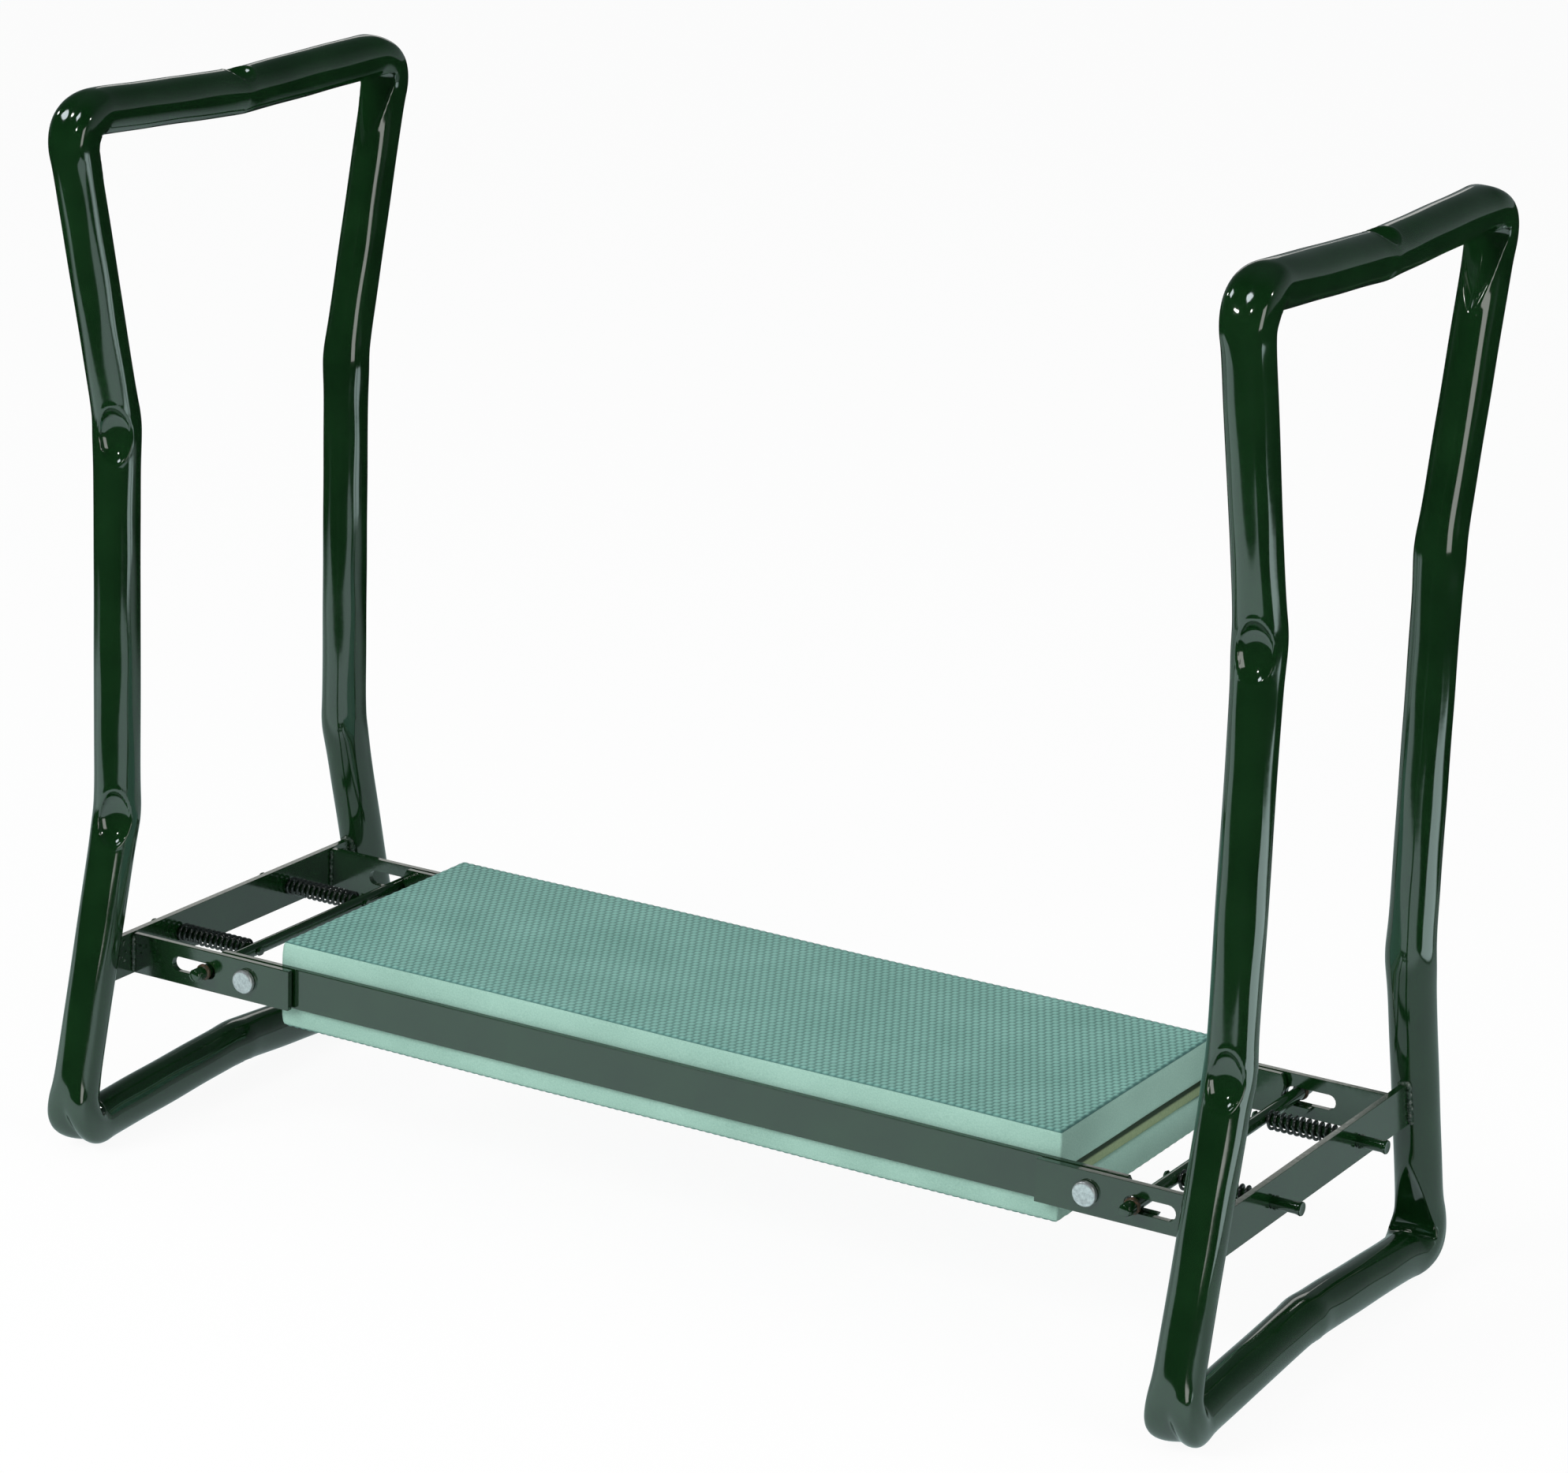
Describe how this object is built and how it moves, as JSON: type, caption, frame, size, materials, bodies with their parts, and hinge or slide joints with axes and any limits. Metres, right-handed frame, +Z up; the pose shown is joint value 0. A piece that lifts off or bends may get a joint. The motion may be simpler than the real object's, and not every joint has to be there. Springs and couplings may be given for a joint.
{
  "type": "garden kneeler seat",
  "caption": "Folding garden kneeler and seat: a padded foam board between two bent-tube leg loops that fold in over it on rivets, held open by sprung lock rods.",
  "frame": {"origin": "on the floor under the middle of the seat, with both legs open and the kneeling pad up", "axes": "+X towards the right leg along the seat's length, +Y towards the back, +Z up"},
  "size_m": [0.5924, 0.2604, 0.4879],
  "materials": {
    "green_paint": "gloss",
    "zinc_plate": "satin",
    "spring_steel": "gloss",
    "mint_foam": "matte foam",
    "seat_board": "painted"
  },
  "bodies": {
    "seat": {"front_rail": "green_paint", "back_rail": "green_paint", "left_end_bar": "green_paint", "right_end_bar": "green_paint", "seat_board": "seat_board", "upper_pad": "mint_foam", "lower_pad": "mint_foam", "left_front_rivet": "zinc_plate", "left_back_rivet": "zinc_plate", "left_front_washer": "zinc_plate", "left_back_washer": "zinc_plate", "right_front_rivet": "zinc_plate", "right_back_rivet": "zinc_plate", "right_front_washer": "zinc_plate", "right_back_washer": "zinc_plate"},
    "left_leg": {"left_leg_tube": "green_paint", "left_cross_bar": "green_paint", "left_front_arm": "green_paint", "left_back_arm": "green_paint", "left_front_spring": "spring_steel", "left_back_spring": "spring_steel"},
    "left_lock": {"left_lock_rod": "green_paint", "left_front_guide_pin": "green_paint", "left_back_guide_pin": "green_paint"},
    "right_leg": {"right_leg_tube": "green_paint", "right_cross_bar": "green_paint", "right_front_arm": "green_paint", "right_back_arm": "green_paint", "right_front_spring": "spring_steel", "right_back_spring": "spring_steel"},
    "right_lock": {"right_lock_rod": "green_paint", "right_front_guide_pin": "green_paint", "right_back_guide_pin": "green_paint"}
  },
  "joints": [
    {"name": "left_fold", "type": "hinge", "parent": "seat", "child": "left_leg", "pos_m": [-0.2153, 0, 0.085], "axis": [0, 1, 0], "range_deg": [0, 94.8]},
    {"name": "right_fold", "type": "hinge", "parent": "seat", "child": "right_leg", "pos_m": [0.2153, 0, 0.085], "axis": [0, -1, 0], "range_deg": [0, 87]},
    {"name": "left_lock", "type": "slide", "parent": "left_leg", "child": "left_lock", "axis": [-1, 0, 0], "range_m": [0, 0.0155], "stiffness_N_per_m": 600, "springref_m": -0.01, "deforming": ["left_front_spring", "left_back_spring"]},
    {"name": "right_lock", "type": "slide", "parent": "right_leg", "child": "right_lock", "axis": [1, 0, 0], "range_m": [0, 0.0155], "stiffness_N_per_m": 600, "springref_m": -0.01, "deforming": ["right_front_spring", "right_back_spring"]}
  ]
}
